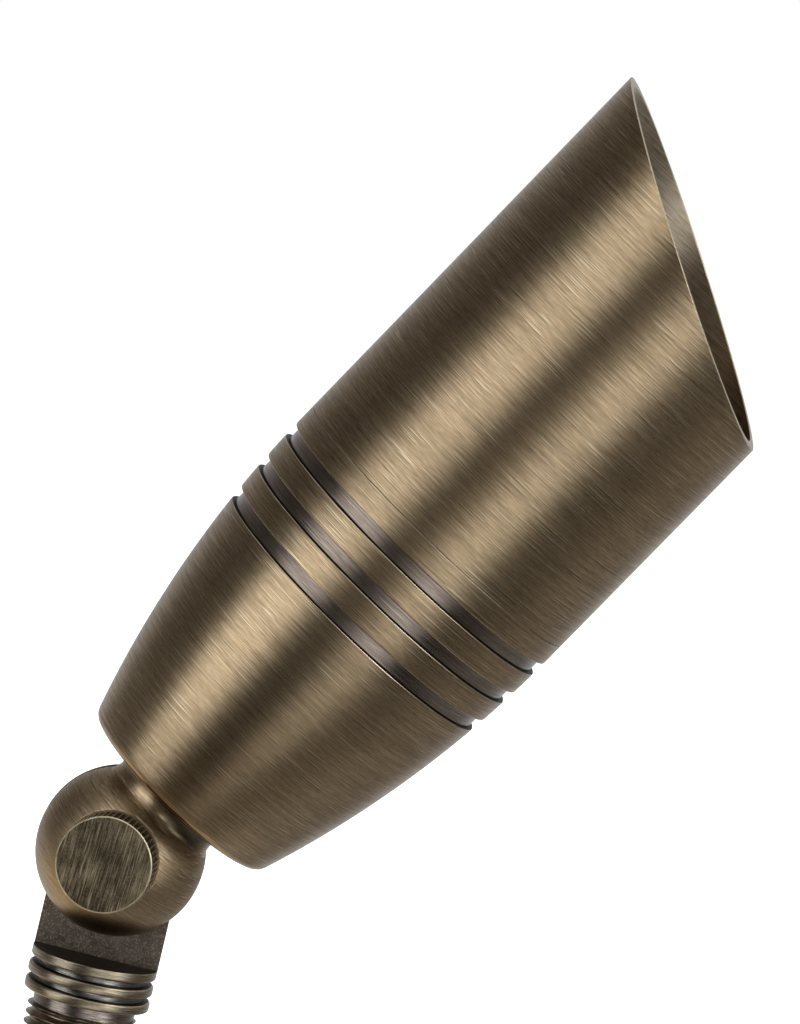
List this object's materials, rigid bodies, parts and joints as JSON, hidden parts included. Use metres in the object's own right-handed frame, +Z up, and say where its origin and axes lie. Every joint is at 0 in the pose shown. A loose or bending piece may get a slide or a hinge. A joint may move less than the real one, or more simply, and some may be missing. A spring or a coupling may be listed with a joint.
{
  "type": "landscape spotlight",
  "caption": "Antique brass bullet spotlight: slant-cut shroud on a tapered grooved body, tilting on a half-lap knuckle with a knurled thumb screw and a threaded stem.",
  "frame": {"origin": "centre of the stem's threaded end, where the wire bore opens", "axes": "+Z up along the stem, +Y along the knuckle's pivot away from the thumb screw, +X the way the barrel leans at rest"},
  "size_m": [0.1122, 0.0636, 0.2073],
  "materials": {
    "antique_brass": "brushed antique brass, turned",
    "screw_brass": "scratched antique brass with a bright edge",
    "cast_brass": "dark sand-cast brass, turned collar",
    "contact_brass": "plain",
    "steel": "plain stainless",
    "rubber": "matte black",
    "silicone": "translucent white silicone",
    "lens_glass": "clear tempered",
    "lamp_glass": "clear",
    "reflector": "faceted mirror coating",
    "ceramic": "unglazed ceramic",
    "lead_insulation": "woven sleeve"
  },
  "bodies": {
    "stem": {"stem": "cast_brass", "knuckle_seal": "rubber"},
    "head": {"lamp_housing": "antique_brass", "screw_seal": "rubber", "shroud_seal": "rubber", "lamp_reflector": "reflector", "lamp_cover_glass": "lamp_glass", "lamp_capsule": "lamp_glass", "lamp_base": "ceramic", "lamp_pins": "steel", "lamp_socket": "ceramic", "socket_contacts": "contact_brass", "socket_bracket": "steel", "socket_screws": "steel", "bracket_screws": "steel", "wire_grommet": "silicone", "lamp_leads": "lead_insulation"},
    "screw_washer": {"thumb_screw_washer": "steel"},
    "thumb_screw": {"thumb_screw": "screw_brass"},
    "lens_pack": {"lens_gasket": "silicone", "lens": "lens_glass"},
    "shroud": {"shroud": "antique_brass"}
  },
  "joints": [
    {"name": "head_tilt", "type": "hinge", "parent": "stem", "child": "head", "pos_m": [0, 0, 0.04605], "axis": [0, 1, 0], "range_deg": [-120.7, 59.3]},
    {"name": "thumb_screw_lift", "type": "slide", "parent": "stem", "child": "screw_washer", "axis": [0, -1, 0], "range_m": [0, 0.003]},
    {"name": "thumb_screw_turn", "type": "hinge", "parent": "screw_washer", "child": "thumb_screw", "pos_m": [0, 0, 0.04605], "axis": [0, -1, 0], "range_deg": [0, 1080]},
    {"name": "shroud_lift", "type": "slide", "parent": "head", "child": "lens_pack", "axis": [0.5105, 0, 0.8599], "range_m": [0, 0.006]},
    {"name": "shroud_turn", "type": "hinge", "parent": "lens_pack", "child": "shroud", "pos_m": [0, 0, 0.04605], "axis": [0.5105, 0, 0.8599], "range_deg": [0, 1440]}
  ],
  "couplings": [
    {"joint": "thumb_screw_turn", "follows": "thumb_screw_lift", "rad_per_m": 6283},
    {"joint": "shroud_lift", "follows": "shroud_turn", "m_per_rad": 0.00023873}
  ]
}
